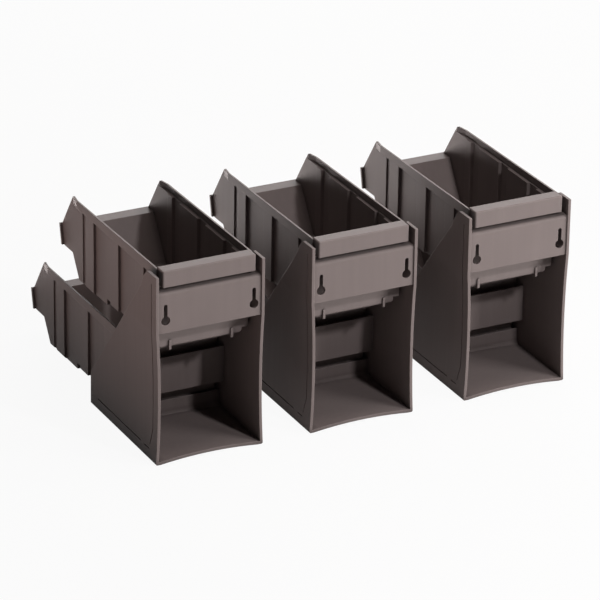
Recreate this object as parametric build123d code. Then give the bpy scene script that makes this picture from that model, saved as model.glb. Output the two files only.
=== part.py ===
from build123d import *
import os

# Condiment organizer: three modules in a row, each a one-piece housing with two pull-out bins.
# All sizes in millimetres, Z up. The fronts face -Y, the keyhole panels face +Y, and the
# origin is at the middle of the base of the whole set. Inside a module the depth is counted
# from its rear plane towards the front, so a depth v lies at y = rear_y - v.

# Housing: outside
housing_width = 127.0
housing_depth = 169.0
housing_height = 218.5
housing_wall = 3.3
side_bow_rear = 2.2
side_bow_front = 0.3
floor_bow_rear = 3.5
floor_bow_front = 0.4
base_corner_radius = 1.8
foot_width = 6.0

# Housing: outline of the side walls, the two upper bends counted down from the top
top_flat_depth = 23.0
top_corner_radius = 4.0
shoulder_depth = 30.0
shoulder_drop = 7.0
slope_start_depth = 39.4
slope_start_drop = 23.9
front_edge_height = 39.0
front_corner_radius = 3.0

# Housing: hanger panel with its keyholes
panel_setback = 1.5
panel_thickness = 2.8
panel_drop = 18.8
panel_height = 46.7
panel_nose_radius = 3.6
ledge_depth = 14.5
ledge_thickness = 2.6
keyhole_edge = 11.8
keyhole_head_rise = 14.0
keyhole_head_radius = 5.2
keyhole_slot_width = 4.3
keyhole_slot_rise = 18.8

# Housing: lower rear panel, sill behind the lower bin, bin rails and stop webs
lower_panel_inset = 6.9
lower_panel_thickness = 2.8
lower_panel_height = 42.3
lower_panel_gap = 13.4
sill_gap = 4.1
sill_thickness = 2.2
sill_top_z = 22.3
sill_foot_z = 2.5
sill_fillet_radius = 6.0
rail_thickness = 2.6
rail_root_thickness = 7.0
rail_start = 34.0
rail_overrun = 1.0
front_rail_inset = 4.0
stop_web_thickness = 2.5
web_over_lip = 1.8
front_web_inset = 1.0

# Housing: thin grooves in the outside of both walls
groove_depth = 0.7
groove_width = 1.3
groove_line_depth = 11.4
groove_top_drop = 10.5
groove_bend_z = 37.0
groove_knee_depth = 15.4
groove_knee_z = 24.5
groove_foot_depth = 17.4
groove_foot_z = 18.0
groove_slot_start_depth = 18.8
groove_slot_end_depth = 30.0
groove_slot_z = 12.6
groove_run_start_depth = 40.0
groove_run_start_z = 13.2
groove_run_end_depth = 150.0
groove_run_end_z = 13.6

# How the bins sit in a housing
lip_rise = 4.9
lower_bin_base_z = 12.5
bin_stack_gap = 12.1
bin_side_gap = 4.7
bin_travel = 58.0
rail_clearance = 0.3
web_clearance = 0.4
keel_clearance = 1.0

# Bin: shell, with heights of the rim counted down from its top
bin_wall = 2.2
rim_drop_at_front = 4.2
rim_drop_at_rear = 1.4
rim_height = 12.6
rim_taper_run = 14.0
rim_wall = 2.0
rim_ledge_thickness = 2.0
keel_step = 7.2
keel_height = 7.3
keel_corner_radius = 5.0
keel_end_setback = 70.2
bin_side_radius = 6.0
back_top_depth = 15.4
back_bottom_depth = 24.7
back_bottom_radius = 3.6
inner_bottom_radius = 2.6
front_bottom_depth = 220.2
front_root_run = 17.7
front_root_rise = 27.3
peak_run = 15.6
peak_radius = 3.0

# Bin: ribs in the side walls, set in from the rim
rib_count = 3
rib_step = 1.0
recess_step = 3.8
cheek_step = 2.4
first_rib_depth = 50.7
rib_flat = 20.6
rib_ramp = 2.5
last_rib_setback = 10.5
cheek_setback = 9.9

# Bin: hooked lip at the rear
lip_step = 1.0
lip_rear_depth = 3.0
lip_height = 18.7
lip_thickness = 2.4
lip_corner_radius = 2.0
lip_edge_bevel = 0.9

# Bin: down-turned label grip at the front
grip_reach = 48.5
grip_lean = 5.1
grip_top_rise = 51.5
grip_bottom_rise = 27.5
grip_thickness = 3.0
grip_edge_radius = 0.75
grip_flange_thickness = 2.2

# Bin: two stop fins under the rear edge
fin_spacing = 72.8
fin_width = 2.6
fin_rear_depth = 22.5
fin_front_depth = 26.5
fin_drop = 2.7
fin_rise = 9.0
fin_bevel = 1.2

# Row of modules
pitch_right_centre = 183.2
pitch_centre_left = 190.1

# Housing places that follow from the sizes above
half_width = housing_width / 2
half_inside = half_width - housing_wall
panel_top_z = housing_height - panel_drop
panel_bottom_z = panel_top_z - panel_height
keyhole_spacing = housing_width - 2 * keyhole_edge
keyhole_head_z = panel_bottom_z + keyhole_head_rise
keyhole_slot_top_z = keyhole_head_z + keyhole_slot_rise

# Two bins of one height fill the housing, one over the other
bin_height = (housing_height + lip_rise - lower_bin_base_z - bin_stack_gap) / 2
lower_bin_drop = bin_height + bin_stack_gap
bin_bottom_z = lower_bin_base_z + lower_bin_drop
bin_top_z = bin_bottom_z + bin_height
rim_front_z = bin_top_z - rim_drop_at_front
rim_rear_z = bin_top_z - rim_drop_at_rear
rim_ledge_z = bin_top_z - rim_height
lip_bottom_z = bin_top_z - lip_height
keel_top_z = bin_bottom_z + keel_height
fin_bottom_z = bin_bottom_z - fin_drop

# Widths of the bin, all taken from the clear width of the housing
rim_width = 2 * (half_inside - bin_side_gap)
rib_width = rim_width - 2 * rib_step
recess_width = rim_width - 2 * recess_step
cheek_width = rim_width - 2 * cheek_step
keel_width = rim_width - 2 * keel_step
lip_width = rim_width - 2 * lip_step

# Depths of the bin's front, all taken from where its bottom ends
front_root_depth = front_bottom_depth + front_root_run
front_root_z = bin_bottom_z + front_root_rise
peak_depth = front_bottom_depth + peak_run
cheek_start_depth = front_bottom_depth - cheek_setback
keel_end_depth = front_bottom_depth - keel_end_setback
last_rib_end_depth = cheek_start_depth - last_rib_setback
rib_pitch = (last_rib_end_depth - rib_flat - first_rib_depth) / (rib_count - 1)
grip_top_depth = front_bottom_depth + grip_reach
grip_bottom_depth = grip_top_depth - grip_lean
grip_top_z = bin_bottom_z + grip_top_rise
grip_bottom_z = bin_bottom_z + grip_bottom_rise

# Stop webs meet the fins at full travel, and the lower one ends just inside the front
upper_web_depth = fin_front_depth + bin_travel
lower_web_depth = housing_depth - front_web_inset - stop_web_thickness
lower_bin_forward = lower_web_depth - upper_web_depth
web_top_z = bin_bottom_z - web_clearance
upper_web_bottom_z = bin_top_z - lower_bin_drop + web_over_lip
lower_panel_depth = lower_bin_forward + lower_panel_inset
lower_panel_top_z = lip_bottom_z - lower_bin_drop - lower_panel_gap
sill_depth = lower_bin_forward + fin_rear_depth - sill_gap

# Places of the modules in the row
row_width = pitch_right_centre + pitch_centre_left + housing_width
right_x = row_width / 2 - half_width
centre_x = right_x - pitch_right_centre
left_x = centre_x - pitch_centre_left

# Cutters run past the surface that they open by one of these
overrun = 1.0
well_over = 40.0


def yz_face(points):
    """Face in the YZ plane from (depth, height) corners, depth running towards -Y."""
    return make_face(Polyline([(0, -v, z) for v, z in points], close=True))


def across(face, width):
    """Solid from a YZ face, spread evenly to both sides over the full width."""
    return extrude(face, amount=width / 2, dir=(1, 0, 0), both=True)


def band(x0, x1, v0, v1, z0, z1):
    """Plain block between two widths, depths and heights, used as a cutter or web."""
    block = Box(x1 - x0, v1 - v0, z1 - z0, align=(Align.MIN, Align.MAX, Align.MIN))
    return block.moved(Location((x0, -v0, z0)))


def corner(face, depth, height, radius):
    """Round the corner of a YZ face that lies nearest to the given depth and height."""
    vertex = min(face.vertices(), key=lambda p: (p.Y + depth) ** 2 + (p.Z - height) ** 2)
    flat = Plane.YZ.to_local_coords(face)
    local = min(flat.vertices(), key=lambda p: (p.X - vertex.Y) ** 2 + (p.Y - vertex.Z) ** 2)
    return Plane.YZ * fillet(local, radius)


# Housing shell: lofted from the bowed rear mouth to the nearly straight front


def bowed_outline(depth, half, base_z, top_z, side_bow, floor_bow, foot):
    """Closed outline of a module at one depth, with walls and floor bowed inwards."""
    y = -depth
    bow_z = panel_bottom_z
    inner = half - foot
    left = ThreePointArc((-half, y, base_z), (-half + side_bow, y, bow_z / 2), (-half, y, bow_z))
    right = ThreePointArc((half, y, bow_z), (half - side_bow, y, bow_z / 2), (half, y, base_z))
    floor = ThreePointArc((inner, y, base_z), (0, y, base_z + floor_bow), (-inner, y, base_z))
    top = Polyline((-half, y, bow_z), (-half, y, top_z), (half, y, top_z), (half, y, bow_z))
    lines = [left, top, right, floor]
    if foot:
        lines += [Line((half, y, base_z), (inner, y, base_z)), Line((-inner, y, base_z), (-half, y, base_z))]
    return make_face(Curve() + lines)


def bowed_block(half, base_z, top_z, overshoot, foot):
    """Solid between the outline at the rear and the outline at the front."""
    rear = bowed_outline(-overshoot, half, base_z, top_z, side_bow_rear, floor_bow_rear, foot)
    front_depth = housing_depth + overshoot
    front = bowed_outline(front_depth, half, base_z, top_z, side_bow_front, floor_bow_front, foot)
    return loft([rear, front], ruled=True)


def side_outline():
    """Side view of the housing: flat top, stepped shoulder and long slope to a low front."""
    shoulder_z = housing_height - shoulder_drop
    face = yz_face([
        (0, 0),
        (0, housing_height),
        (top_flat_depth, housing_height),
        (shoulder_depth, shoulder_z),
        (slope_start_depth, housing_height - slope_start_drop),
        (housing_depth, front_edge_height),
        (housing_depth, 0),
    ])
    face = corner(face, top_flat_depth, housing_height, top_corner_radius)
    face = corner(face, shoulder_depth, shoulder_z, top_corner_radius)
    return corner(face, housing_depth, front_edge_height, front_corner_radius)


def housing_shell():
    """Open-backed, open-topped shell: the outside block cut by the side view and hollowed."""
    outside = bowed_block(half_width, 0, housing_height, 0, foot_width)
    inside = bowed_block(half_inside, housing_wall, housing_height + well_over, overrun, 0)
    outer_corners = [e for e in outside.edges()
                     if abs(e.center().Z) < 0.1 and abs(abs(e.center().X) - half_width) < 0.1]
    outside = fillet(outer_corners, base_corner_radius)
    return (outside & across(side_outline(), housing_width)) - inside


def hanger_panel():
    """L-shaped panel: upright plate, rounded nose on top and a ledge running forwards."""
    rear = panel_setback
    front = panel_setback + panel_thickness
    face = yz_face([
        (rear, panel_bottom_z),
        (rear, panel_top_z),
        (ledge_depth, panel_top_z),
        (ledge_depth, panel_top_z - ledge_thickness),
        (front, panel_top_z - ledge_thickness),
        (front, panel_bottom_z),
    ])
    face = corner(face, rear, panel_top_z, panel_nose_radius)
    panel = across(face, 2 * half_inside + housing_wall)
    slot_end_z = keyhole_slot_top_z - keyhole_slot_width / 2
    for x in (-keyhole_spacing / 2, keyhole_spacing / 2):
        head = Plane.XZ * Pos(x, keyhole_head_z) * Circle(keyhole_head_radius)
        slot_end = Plane.XZ * Pos(x, slot_end_z) * Circle(keyhole_slot_width / 2)
        middle_z = (keyhole_head_z + slot_end_z) / 2
        slot = Plane.XZ * Pos(x, middle_z) * Rectangle(keyhole_slot_width, slot_end_z - keyhole_head_z)
        panel -= extrude(head + slot + slot_end, amount=well_over, both=True)
    return panel


def plate(depth, thickness, z0, z1):
    """Cross plate between the side walls, its ends set into them."""
    half = half_inside + housing_wall / 2
    return band(-half, half, depth, depth + thickness, z0, z1)


def sill_foot():
    """Hollow fillet that leads from the floor up into the sill."""
    radius = sill_fillet_radius
    floor_z = housing_wall - floor_bow_front
    middle = radius + floor_z
    face = yz_face([
        (sill_depth - radius, sill_foot_z),
        (sill_depth + sill_thickness / 2, sill_foot_z),
        (sill_depth + sill_thickness / 2, middle),
        (sill_depth - radius, middle),
    ])
    hollow = Plane.YZ * Pos(radius - sill_depth, middle) * Circle(radius)
    return across(face - hollow, 2 * half_inside + housing_wall)


def rail(top_z, v0, v1):
    """Pair of tapered ledges on the inner walls that carry the shoulders of one bin."""
    inner = keel_width / 2 + keel_clearance
    root = half_inside + housing_wall / 2
    section = make_face(Polyline([
        (root, -v0, top_z),
        (inner, -v0, top_z),
        (inner, -v0, top_z - rail_thickness),
        (root, -v0, top_z - rail_root_thickness),
    ], close=True))
    ledge = extrude(section, amount=v1 - v0, dir=(0, -1, 0))
    return ledge + mirror(ledge, about=Plane.YZ)


def groove_cutter():
    """Thin line grooves in both outer walls, all equally deep in the bowed surface."""
    upright = Polyline(
        (-groove_line_depth, housing_height - groove_top_drop),
        (-groove_line_depth, groove_bend_z),
        (-groove_knee_depth, groove_knee_z),
        (-groove_foot_depth, groove_foot_z),
    )
    slot = Line((-groove_slot_start_depth, groove_slot_z), (-groove_slot_end_depth, groove_slot_z))
    run = Line((-groove_run_start_depth, groove_run_start_z), (-groove_run_end_depth, groove_run_end_z))
    cutter = Part()
    for path in (upright, slot, run):
        line = Plane.YZ * trace(path, line_width=groove_width)
        cutter += extrude(line, amount=half_width + groove_depth, dir=(1, 0, 0), both=True)
    kept = bowed_block(half_width - groove_depth, 0, housing_height, 0, 0)
    return cutter - kept


def make_housing():
    """One moulding: shell, hanger panel, lower panel, sill, rails and stop webs."""
    body = housing_shell()
    body += hanger_panel()
    panel_foot_z = lower_panel_top_z - lower_panel_height
    body += plate(lower_panel_depth, lower_panel_thickness, panel_foot_z, lower_panel_top_z)
    body += plate(sill_depth, sill_thickness, sill_foot_z, sill_top_z)
    body += sill_foot()
    rail_top_z = keel_top_z - rail_clearance
    upper_rail_end = upper_web_depth + stop_web_thickness + rail_overrun
    lower_rail_start = rail_start + lower_bin_forward
    body += rail(rail_top_z, rail_start, upper_rail_end)
    body += rail(rail_top_z - lower_bin_drop, lower_rail_start, housing_depth - front_rail_inset)
    body += plate(upper_web_depth, stop_web_thickness, upper_web_bottom_z, web_top_z)
    body += plate(lower_web_depth, stop_web_thickness, sill_foot_z, web_top_z - lower_bin_drop)
    return body - groove_cutter()


# Bin: the same body is drawn twice, full size and one wall smaller, and one cut from the other


def plan_outline():
    """Right half of the ribbed side wall seen from above, mirrored into a closed face."""
    rib = rib_width / 2
    recess = recess_width / 2
    cheek = cheek_width / 2
    points = [(recess, well_over)]
    for i in range(rib_count):
        start = first_rib_depth + i * rib_pitch
        end = start + rib_flat
        points += [(recess, -start), (rib, -start), (rib, -end), (recess, -end - rib_ramp)]
    points += [(recess, -cheek_start_depth), (cheek, -cheek_start_depth)]
    points.append((cheek, -grip_top_depth - well_over))
    mirrored = [(-x, y) for x, y in reversed(points)]
    return make_face(Polyline(points + mirrored, close=True))


def front_wall_depth(z):
    """Depth of the outside of the sloping front wall at a height."""
    share = (z - bin_bottom_z) / front_root_rise
    return front_bottom_depth + share * front_root_run


def back_wall_depth(z):
    """Depth of the outside of the leaning rear wall at a height."""
    share = (z - bin_bottom_z) / bin_height
    return back_bottom_depth + share * (back_top_depth - back_bottom_depth)


def slanted(wall, run, rise):
    """Level distance across a wall of the given thickness that leans by run over rise."""
    return wall * ((run / rise) ** 2 + 1) ** 0.5


front_lean = slanted(bin_wall, front_root_run, front_root_rise)
back_lean = slanted(bin_wall, back_bottom_depth - back_top_depth, bin_height)


def rounded_trough(width, bottom_z, radius, v0, v1):
    """Long block with rounded lower edges, running along the bin."""
    half = width / 2
    high = bin_top_z + well_over
    section = Plane.XZ * Pos(0, (bottom_z + high) / 2) * Rectangle(width, high - bottom_z)
    block = extrude(section, amount=v1 - v0, dir=(0, -1, 0)).moved(Location((0, -v0, 0)))
    lower = [e for e in block.edges() if abs(e.center().Z - bottom_z) < 0.01
             and abs(abs(e.center().X) - half) < 0.01]
    return fillet(lower, radius)


def rim_outline(half):
    """Rim seen from above: straight sides that draw in to the end plates near the front."""
    tip = half - cheek_step
    far = grip_top_depth + well_over
    right = [(half, well_over), (half, rim_taper_run - peak_depth), (tip, -peak_depth), (tip, -far)]
    left = [(-x, y) for x, y in reversed(right)]
    return make_face(Polyline(right + left, close=True))


def bin_block(profile, plan, inset, ledge_z, rim_half):
    """Ribbed, keeled body of the bin: three profiles crossed, with the keel shoulders cut."""
    low_z = bin_bottom_z - well_over
    walls = extrude(Pos(0, 0, low_z) * plan, amount=ledge_z - low_z)
    rim = extrude(Pos(0, 0, ledge_z) * rim_outline(rim_half), amount=bin_top_z + well_over - ledge_z)
    body = across(profile, rim_width) & (walls + rim)
    end = grip_top_depth + well_over
    trough_width = rim_width + well_over - 2 * inset
    bottom = bin_bottom_z + inset
    body &= rounded_trough(2 * rim_half, bottom, bin_side_radius - inset, -well_over, end)
    shoulder = keel_top_z + inset
    keel = rounded_trough(keel_width - 2 * inset, bottom, keel_corner_radius - inset, -well_over, end)
    waste = band(-trough_width / 2, trough_width / 2, -well_over, keel_end_depth + inset, low_z, shoulder)
    return body - (waste - keel)


def outer_profile():
    face = yz_face([
        (back_bottom_depth, bin_bottom_z),
        (front_bottom_depth, bin_bottom_z),
        (front_root_depth, front_root_z),
        (grip_bottom_depth - grip_thickness, front_root_z),
        (grip_top_depth - grip_thickness, grip_top_z),
        (peak_depth, rim_front_z),
        (back_wall_depth(rim_rear_z), rim_rear_z),
    ])
    face = corner(face, back_bottom_depth, bin_bottom_z, back_bottom_radius)
    face = corner(face, front_bottom_depth, bin_bottom_z, back_bottom_radius)
    return corner(face, peak_depth, rim_front_z, peak_radius)


def inner_profile():
    floor_z = bin_bottom_z + bin_wall
    high = bin_top_z + well_over
    far = grip_top_depth + well_over
    face = yz_face([
        (back_wall_depth(floor_z) + back_lean, floor_z),
        (front_wall_depth(floor_z) - front_lean, floor_z),
        (front_wall_depth(grip_top_z) - front_lean, grip_top_z),
        (far, grip_top_z),
        (far, high),
        (back_wall_depth(high) + back_lean, high),
    ])
    face = corner(face, back_wall_depth(floor_z) + back_lean, floor_z, inner_bottom_radius)
    return corner(face, front_wall_depth(floor_z) - front_lean, floor_z, inner_bottom_radius)


def grip_hollow():
    """Finger space behind the down-turned grip, open at the bottom."""
    top = grip_top_z - grip_flange_thickness
    under = front_root_z - overrun
    lean = grip_lean / (grip_top_z - grip_bottom_z)
    inside_top = grip_top_depth - grip_thickness - lean * (grip_top_z - top)
    inside_bottom = grip_bottom_depth - grip_thickness - lean * (grip_bottom_z - under)
    face = yz_face([
        (front_wall_depth(under), under),
        (front_wall_depth(top), top),
        (inside_top, top),
        (inside_bottom, under),
    ])
    return across(face, cheek_width - 2 * bin_wall)


def grip_plate():
    face = yz_face([
        (grip_bottom_depth, grip_bottom_z),
        (grip_top_depth, grip_top_z),
        (grip_top_depth - grip_thickness, grip_top_z),
        (grip_bottom_depth - grip_thickness, grip_bottom_z),
    ])
    solid = across(face, rim_width)
    return fillet(solid.edges().filter_by(Axis.X), grip_edge_radius)


def back_plate():
    """Rear wall spread to the full width of the rim, wider than the recessed side walls."""
    low = keel_top_z
    high = lip_bottom_z
    face = yz_face([
        (back_wall_depth(low), low),
        (back_wall_depth(low) + back_lean, low),
        (back_wall_depth(high) + back_lean, high),
        (back_wall_depth(high), high),
    ])
    return across(face, rim_width)


def lip():
    """Inverted channel along the rear rim: upright rear face, flat top and closed ends."""
    front = back_wall_depth(bin_top_z) + back_lean
    outer = band(-lip_width / 2, lip_width / 2, lip_rear_depth, front, lip_bottom_z, bin_top_z)
    uprights = [e for e in outer.edges().filter_by(Axis.Z) if e.center().Y > -front + 0.1]
    outer = fillet(uprights, lip_corner_radius)
    top = [e for e in outer.edges() if abs(e.center().Z - bin_top_z) < 0.01 and e.center().Y > -front + 0.1]
    outer = chamfer(top, lip_edge_bevel)
    half = lip_width / 2 - lip_thickness
    space_front = back_wall_depth(bin_top_z)
    space_top = bin_top_z - lip_thickness
    space = band(-half, half, lip_rear_depth + lip_thickness, space_front, lip_bottom_z - overrun, space_top)
    return outer - space


def stop_fins():
    """Two small upright fins under the rear edge, which meet the stop web at full travel."""
    top_z = bin_bottom_z + fin_rise
    face = yz_face([
        (fin_rear_depth, top_z),
        (fin_rear_depth, fin_bottom_z + fin_bevel),
        (fin_rear_depth + fin_bevel, fin_bottom_z),
        (fin_front_depth, fin_bottom_z),
        (fin_front_depth, bin_bottom_z + bin_wall / 2),
        (fin_front_depth - fin_bevel, top_z),
    ])
    fin = across(face, fin_width)
    return [fin.moved(Location((x, 0, 0))) for x in (-fin_spacing / 2, fin_spacing / 2)]


def make_bin():
    plan = plan_outline()
    plan_inside = offset(plan, amount=-bin_wall, kind=Kind.INTERSECTION)
    outside = bin_block(outer_profile(), plan, 0, rim_ledge_z, rim_width / 2)
    inner_rim = rim_width / 2 - rim_wall
    inside = bin_block(inner_profile(), plan_inside, bin_wall, rim_ledge_z + rim_ledge_thickness, inner_rim)
    body = outside - inside - grip_hollow()
    body += grip_plate()
    body += back_plate()
    body += lip()
    for fin in stop_fins():
        body += fin
    return body


def save(shape, name):
    shape.label = name
    export_step(shape, "parts/" + name + ".step")


os.makedirs("parts", exist_ok=True)
housing = make_housing()
bin_shape = make_bin()
rear_y = (lower_bin_forward - bin_shape.bounding_box().min.Y) / 2
for side, x in (("right", right_x), ("centre", centre_x), ("left", left_x)):
    home = Location((x, rear_y, 0))
    below = Location((x, rear_y - lower_bin_forward, -lower_bin_drop))
    save(housing.moved(home), "housing_" + side)
    save(bin_shape.moved(home), "upper_bin_" + side)
    save(bin_shape.moved(below), "lower_bin_" + side)
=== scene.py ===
import math

import bpy
from mathutils import Euler, Matrix, Vector

# Condiment organizer: three housings in a row, each with two pull-out bins, seen from the rear.
# The solids come from the frame as they are. This file gives them their moulded plastic, and
# adds the camera, the studio light, the pale floor and the white room.

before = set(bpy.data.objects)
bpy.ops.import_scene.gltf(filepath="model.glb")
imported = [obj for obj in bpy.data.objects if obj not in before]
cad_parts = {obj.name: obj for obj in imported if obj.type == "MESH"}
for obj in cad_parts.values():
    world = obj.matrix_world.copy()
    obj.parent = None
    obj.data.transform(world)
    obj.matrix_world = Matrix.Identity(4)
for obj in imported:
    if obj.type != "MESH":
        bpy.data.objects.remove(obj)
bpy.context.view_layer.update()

# Camera: where the photograph was taken from. In degrees, it turns left from facing the rear (+Y),
# tilts up from looking straight down, and rolls about its line of sight.

camera_place = Vector((1.9556, 3.8240, 2.0360))
camera_turn = 152.810
camera_tilt = 65.446
camera_roll = 0.915
camera_lens = 254.0
camera_sensor = 36.0
camera_reach = 50.0

# Soft lamps: azimuth from the rear (+Y) towards the right (+X), elevation, distance, size, power
# and colour. Each one is aimed at the middle of the set.

light_centre = Vector((0.0, 0.05, 0.1))
soft_lamps = {
    "key_lamp": (-11.2, 39.0, 1.59, 0.10, 11.0, (1.0, 0.98, 1.0)),
    "left_softbox": (-45.0, 12.0, 2.2, 0.8, 53.0, (0.98, 0.98, 0.98)),
    "side_softbox": (-75.0, 12.0, 2.2, 0.8, 15.0, (1.0, 0.95, 0.9)),
    "high_softbox": (-90.0, 35.0, 2.2, 0.8, 15.0, (1.0, 0.85, 0.78)),
    "top_softbox": (0.0, 88.0, 2.2, 0.9, 15.0, (1.0, 0.92, 0.9)),
    "front_softbox": (-153.0, 24.0, 2.4, 1.6, 35.0, (1.0, 1.0, 1.0)),
}

# Bounce boards lie face up just above the floor and don't show to the camera: place, width,
# depth, power, colour, and whether the plastic's gloss shows them

bounce_boards = {
    "near_board": ((-0.1, -0.6, 0.004), 0.8, 0.56, 10.0, (1.0, 0.9, 0.88), True),
    "right_board": ((0.9, 0.1, 0.004), 0.6, 1.0, 6.8, (1.0, 0.72, 0.66), False),
}

# The room and the floor: white where they are seen, and plain where they light the object

white = (1.0, 1.0, 1.0, 1.0)
room_light = 0.01
room_white_share = 1.0
floor_colour = (0.5, 0.5, 0.5, 1.0)
floor_roughness = 0.9
floor_reach = 6.0
floor_white_share = 0.93

# Moulded plastic of the housings and of the bins

housing_colour = (0.145, 0.120, 0.115)
housing_roughness = 0.33
housing_shine = 0.02
bin_colour = (0.145, 0.120, 0.115)
bin_roughness = 0.44
bin_shine = 0.05

# Tone of the mouldings: slow clouds, and marks drawn out along the height

tone_strength = 0.12
tone_scale = 14.0
tone_detail = 3.0
roughness_spread = 0.06
draw_mark_strength = 0.1
draw_mark_scale = 170.0
draw_mark_detail = 1.0
draw_mark_stretch = (1.0, 1.0, 0.04)

# Edges, in metres where they are lengths. The lean is the cosine between the rounded normal and
# the face's own; the openness runs from 0 in a tight corner to 1 on a free face.

edge_radius = 0.0007
edge_samples = 6
lean_on_flat = 0.995
lean_on_edge = 0.8
corner_reach = 0.009
corner_samples = 4
openness_inner = 0.6
openness_outer = 0.9
edge_wear_and_highlight = 0.9
# painted highlight: outer edges are made this much lighter in colour, partly as wear and partly as
# a painted highlight
edge_highlight_lightness = 2.2
worn_roughness = 0.2
wear_patch_scale = 60.0
wear_patch_detail = 3.0
wear_patch_low = 0.3
wear_patch_high = 0.65
wear_least = 0.35
# painted shade: how much darker the colour is made in inner corners, grooves and gaps
painted_corner_shade = 0.7

# Grain of the mould's surface, with its depth in metres

grain_scale = 900.0
grain_depth = 0.00003
grain_detail = 2.0


def new_group(name, inputs, outputs):
    """Node group with named sockets; an input is (name, kind, default), an output (name, kind)."""
    group = bpy.data.node_groups.new(name, "ShaderNodeTree")
    for label, kind, default in inputs:
        socket = group.interface.new_socket(name=label, in_out="INPUT", socket_type=kind)
        if default is not None:
            socket.default_value = default
    for label, kind in outputs:
        group.interface.new_socket(name=label, in_out="OUTPUT", socket_type=kind)
    entry = group.nodes.new("NodeGroupInput")
    leave = group.nodes.new("NodeGroupOutput")
    return group, entry.outputs, leave.inputs


def feed(tree, socket, source):
    """Link a socket to another one, or write a plain number into it."""
    if isinstance(source, (int, float)):
        socket.default_value = source
    else:
        tree.links.new(source, socket)


def calculate(tree, operation, *values):
    """Math node on sockets and plain numbers; gives its output socket."""
    node = tree.nodes.new("ShaderNodeMath")
    node.operation = operation
    for socket, value in zip(node.inputs, values):
        feed(tree, socket, value)
    return node.outputs[0]


def scale_colour(tree, colour, amount):
    """Colour times an amount that changes over the surface."""
    node = tree.nodes.new("ShaderNodeVectorMath")
    node.operation = "SCALE"
    feed(tree, node.inputs[0], colour)
    feed(tree, node.inputs["Scale"], amount)
    return node.outputs["Vector"]


def ramp(tree, value, start, end, lowest=0.0):
    """Straight rise from lowest to 1 while the value goes from start to end."""
    node = tree.nodes.new("ShaderNodeMapRange")
    node.inputs["From Min"].default_value = start
    node.inputs["From Max"].default_value = end
    node.inputs["To Min"].default_value = lowest
    feed(tree, node.inputs["Value"], value)
    return node.outputs["Result"]


def noise(tree, scale, detail, stretch=None):
    """Noise in the object's own coordinates, drawn out by stretch where that is given."""
    place = tree.nodes.new("ShaderNodeTexCoord").outputs["Object"]
    if stretch:
        stretched = tree.nodes.new("ShaderNodeMapping")
        stretched.inputs["Scale"].default_value = stretch
        feed(tree, stretched.inputs["Vector"], place)
        place = stretched.outputs["Vector"]
    node = tree.nodes.new("ShaderNodeTexNoise")
    node.inputs["Detail"].default_value = detail
    feed(tree, node.inputs["Vector"], place)
    feed(tree, node.inputs["Scale"], scale)
    return node.outputs["Fac"]


def make_tone_group():
    """Slight changes of tone and gloss: melt flow, and marks where the core was drawn."""
    group, given, result = new_group(
        "flow_tone",
        [("Colour", "NodeSocketColor", None),
         ("Strength", "NodeSocketFloat", tone_strength),
         ("Scale", "NodeSocketFloat", tone_scale),
         ("Draw Marks", "NodeSocketFloat", draw_mark_strength),
         ("Draw Mark Scale", "NodeSocketFloat", draw_mark_scale),
         ("Roughness", "NodeSocketFloat", None),
         ("Roughness Spread", "NodeSocketFloat", roughness_spread)],
        [("Colour", "NodeSocketColor"), ("Roughness", "NodeSocketFloat")],
    )
    cloud = calculate(group, "SUBTRACT", noise(group, given["Scale"], tone_detail), 0.5)
    streak = noise(group, given["Draw Mark Scale"], draw_mark_detail, draw_mark_stretch)
    streak = calculate(group, "SUBTRACT", streak, 0.5)
    marks = calculate(group, "MULTIPLY_ADD", streak, given["Draw Marks"], 1.0)
    swing = calculate(group, "MULTIPLY_ADD", cloud, given["Strength"], marks)
    feed(group, result["Colour"], scale_colour(group, given["Colour"], swing))
    gloss = calculate(
        group, "MULTIPLY_ADD", cloud, given["Roughness Spread"], given["Roughness"])
    feed(group, result["Roughness"], gloss)
    return group


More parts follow.
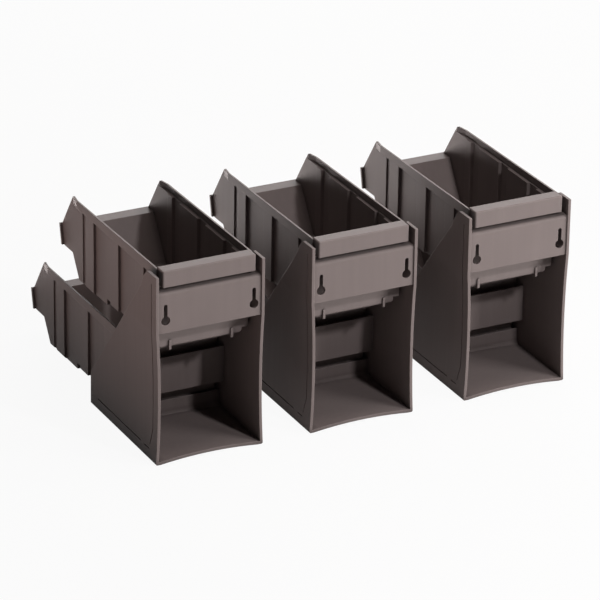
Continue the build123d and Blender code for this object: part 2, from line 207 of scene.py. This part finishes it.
def make_edge_group():
    """Moulding edges: a rounded normal; outer edges worn more matt and painted lighter, partly as
    wear and partly as a painted highlight; and painted shade in inner corners.
    """
    group, given, result = new_group(
        "edge_wear_highlight_and_shade",
        [("Colour", "NodeSocketColor", None),
         ("Roughness", "NodeSocketFloat", None),
         ("Edge Radius", "NodeSocketFloat", edge_radius),
         ("Wear And Highlight", "NodeSocketFloat", edge_wear_and_highlight),
         ("Edge Highlight Lightness", "NodeSocketFloat", edge_highlight_lightness),
         ("Worn Roughness", "NodeSocketFloat", worn_roughness),
         ("Patch Scale", "NodeSocketFloat", wear_patch_scale),
         ("Painted Corner Shade", "NodeSocketFloat", painted_corner_shade)],
        [("Colour", "NodeSocketColor"),
         ("Roughness", "NodeSocketFloat"),
         ("Normal", "NodeSocketVector")],
    )
    rounded = group.nodes.new("ShaderNodeBevel")
    rounded.samples = edge_samples
    feed(group, rounded.inputs["Radius"], given["Edge Radius"])
    feed(group, result["Normal"], rounded.outputs["Normal"])

    # an edge is where the rounded normal leans away from the face's own
    face = group.nodes.new("ShaderNodeNewGeometry")
    lean = group.nodes.new("ShaderNodeVectorMath")
    lean.operation = "DOT_PRODUCT"
    feed(group, lean.inputs[0], rounded.outputs["Normal"])
    feed(group, lean.inputs[1], face.outputs["True Normal"])
    edge = ramp(group, lean.outputs["Value"], lean_on_flat, lean_on_edge)

    # inner corners have another face close by, so they get neither wear nor the painted highlight
    corner = group.nodes.new("ShaderNodeAmbientOcclusion")
    corner.samples = corner_samples
    corner.inputs["Distance"].default_value = corner_reach
    openness = corner.outputs["AO"]
    open_face = ramp(group, openness, openness_inner, openness_outer)
    outer = calculate(group, "MULTIPLY", edge, open_face)

    # the wear and the painted edge highlight come in patches
    patch = noise(group, given["Patch Scale"], wear_patch_detail)
    patch = ramp(group, patch, wear_patch_low, wear_patch_high, wear_least)
    worn_and_highlit = calculate(group, "MULTIPLY", outer, patch)
    worn_and_highlit = calculate(group, "MULTIPLY", worn_and_highlit, given["Wear And Highlight"])
    worn_and_highlit.node.use_clamp = True
    # painted highlight: the mask mixes in a lighter copy of the colour along outer edges
    colour = group.nodes.new("ShaderNodeMix")
    colour.data_type = "RGBA"
    feed(group, colour.inputs["Factor"], worn_and_highlit)
    feed(group, colour.inputs["A"], given["Colour"])
    feed(group, colour.inputs["B"], scale_colour(group, given["Colour"], given["Edge Highlight Lightness"]))
    rougher = calculate(
        group, "MULTIPLY_ADD", worn_and_highlit, given["Worn Roughness"], given["Roughness"])
    feed(group, result["Roughness"], rougher)

    # painted shade: inner corners, grooves and gaps between pieces are darkened where other faces
    # are close by
    # painted shade: the colour is scaled down by the occlusion found by the corner node
    painted_shade = calculate(group, "SUBTRACT", 1.0, openness)
    painted_shade = calculate(group, "MULTIPLY", painted_shade, given["Painted Corner Shade"])
    shade_multiplier = calculate(group, "SUBTRACT", 1.0, painted_shade)
    feed(group, result["Colour"], scale_colour(group, colour.outputs["Result"], shade_multiplier))
    return group


def make_grain_group():
    """Fine spark-eroded grain, laid over the normal that it is given."""
    group, given, result = new_group(
        "mould_grain",
        [("Grain Scale", "NodeSocketFloat", grain_scale),
         ("Grain Depth", "NodeSocketFloat", grain_depth),
         ("Normal", "NodeSocketVector", None)],
        [("Normal", "NodeSocketVector")],
    )
    bump = group.nodes.new("ShaderNodeBump")
    bump.inputs["Strength"].default_value = 1.0
    feed(group, bump.inputs["Distance"], given["Grain Depth"])
    feed(group, bump.inputs["Height"], noise(group, given["Grain Scale"], grain_detail))
    feed(group, bump.inputs["Normal"], given["Normal"])
    feed(group, result["Normal"], bump.outputs["Normal"])
    return group


def place_group(material, group):
    node = material.node_tree.nodes.new("ShaderNodeGroup")
    node.node_tree = group
    return node


def moulded_plastic(name, colour, roughness, shine):
    """Semi-matt moulded plastic with fine grain, draw marks, soft edges that are slightly worn and
    painted lighter as a highlight, and painted shade in inner corners.
    """
    material = bpy.data.materials.new(name)
    material.use_nodes = True
    links = material.node_tree.links
    shader = material.node_tree.nodes["Principled BSDF"]
    shader.inputs["Specular IOR Level"].default_value = shine
    tone = place_group(material, flow_tone)
    tone.inputs["Colour"].default_value = (*colour, 1.0)
    tone.inputs["Roughness"].default_value = roughness
    edge = place_group(material, edge_wear_highlight_and_shade)
    grain = place_group(material, mould_grain)
    links.new(tone.outputs["Colour"], edge.inputs["Colour"])
    links.new(tone.outputs["Roughness"], edge.inputs["Roughness"])
    links.new(edge.outputs["Normal"], grain.inputs["Normal"])
    links.new(edge.outputs["Colour"], shader.inputs["Base Color"])
    links.new(edge.outputs["Roughness"], shader.inputs["Roughness"])
    links.new(grain.outputs["Normal"], shader.inputs["Normal"])
    return material


def dress_nodes():
    """Give every solid of the frame the plastic of its kind, through its material slots."""
    housing = moulded_plastic(
        "housing_plastic", housing_colour, housing_roughness, housing_shine)
    bins = moulded_plastic("bin_plastic", bin_colour, bin_roughness, bin_shine)
    for name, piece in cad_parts.items():
        plastic = housing if name.startswith("housing") else bins
        if not piece.material_slots:
            piece.data.materials.append(plastic)
        for slot in piece.material_slots:
            slot.material = plastic


def add_camera():
    data = bpy.data.cameras.new("camera")
    data.lens = camera_lens
    data.sensor_width = camera_sensor
    data.sensor_fit = "HORIZONTAL"
    data.clip_end = camera_reach
    camera = bpy.data.objects.new("camera", data)
    turn, tilt, roll = (math.radians(angle) for angle in (camera_turn, camera_tilt, camera_roll))
    aimed = Euler((tilt, 0.0, turn)).to_matrix() @ Matrix.Rotation(roll, 3, "Z")
    camera.matrix_world = Matrix.Translation(camera_place) @ aimed.to_4x4()
    bpy.context.collection.objects.link(camera)
    bpy.context.scene.camera = camera


def area_lamp(name, width, depth, power, colour):
    data = bpy.data.lights.new(name, "AREA")
    data.shape = "RECTANGLE"
    data.size = width
    data.size_y = depth
    data.energy = power
    data.color = colour
    lamp = bpy.data.objects.new(name, data)
    bpy.context.collection.objects.link(lamp)
    return lamp


def add_lamps():
    for name, (azimuth, elevation, distance, size, power, colour) in soft_lamps.items():
        turn, lift = math.radians(azimuth), math.radians(elevation)
        flat = math.cos(lift)
        towards = Vector((math.sin(turn) * flat, math.cos(turn) * flat, math.sin(lift)))
        lamp = area_lamp(name, size, size, power, colour)
        lamp.location = light_centre + towards * distance
        lamp.rotation_euler = (-towards).to_track_quat("-Z", "Y").to_euler()
    for name, (place, width, depth, power, colour, in_gloss) in bounce_boards.items():
        board = area_lamp(name, width, depth, power, colour)
        board.location = place
        board.rotation_euler = (math.pi, 0.0, 0.0)
        board.visible_camera = False
        board.visible_glossy = in_gloss


def white_where_seen(tree, lit, plain_white, share, surface):
    """Mix a share of white in for the rays that see the room: camera, gloss and transmission."""
    path = tree.nodes.new("ShaderNodeLightPath").outputs
    seen = calculate(tree, "MAXIMUM", path["Is Camera Ray"], path["Is Glossy Ray"])
    seen = calculate(tree, "MAXIMUM", seen, path["Is Transmission Ray"])
    mix = tree.nodes.new("ShaderNodeMixShader")
    feed(tree, mix.inputs[0], calculate(tree, "MULTIPLY", seen, share))
    feed(tree, mix.inputs[1], lit)
    feed(tree, mix.inputs[2], plain_white)
    feed(tree, surface, mix.outputs[0])


def add_room():
    world = bpy.data.worlds.new("room")
    bpy.context.scene.world = world
    world.use_nodes = True
    tree = world.node_tree
    lit = tree.nodes["Background"]
    lit.name = "room_light"
    lit.inputs["Color"].default_value = white
    lit.inputs["Strength"].default_value = room_light
    plain_white = tree.nodes.new("ShaderNodeBackground")
    plain_white.inputs["Color"].default_value = white
    plain_white.inputs["Strength"].default_value = 1.0
    surface = tree.nodes["World Output"].inputs["Surface"]
    white_where_seen(tree, lit.outputs[0], plain_white.outputs[0], room_white_share, surface)


def add_floor():
    turns = ((-1.0, -1.0), (1.0, -1.0), (1.0, 1.0), (-1.0, 1.0))
    corners = [(x * floor_reach, y * floor_reach, 0.0) for x, y in turns]
    mesh = bpy.data.meshes.new("floor")
    mesh.from_pydata(corners, [], [(0, 1, 2, 3)])
    floor = bpy.data.objects.new("floor", mesh)
    bpy.context.collection.objects.link(floor)
    material = bpy.data.materials.new("floor")
    material.use_nodes = True
    tree = material.node_tree
    lit = tree.nodes["Principled BSDF"]
    lit.inputs["Base Color"].default_value = floor_colour
    lit.inputs["Roughness"].default_value = floor_roughness
    lit.inputs["Specular IOR Level"].default_value = 0.0
    plain_white = tree.nodes.new("ShaderNodeEmission")
    plain_white.inputs["Color"].default_value = white
    plain_white.inputs["Strength"].default_value = 1.0
    surface = tree.nodes["Material Output"].inputs["Surface"]
    white_where_seen(tree, lit.outputs[0], plain_white.outputs[0], floor_white_share, surface)
    floor.data.materials.append(material)


flow_tone = make_tone_group()
edge_wear_highlight_and_shade = make_edge_group()
mould_grain = make_grain_group()
add_camera()
add_lamps()
add_room()
add_floor()
dress_nodes()
bpy.context.scene.view_settings.view_transform = "Standard"
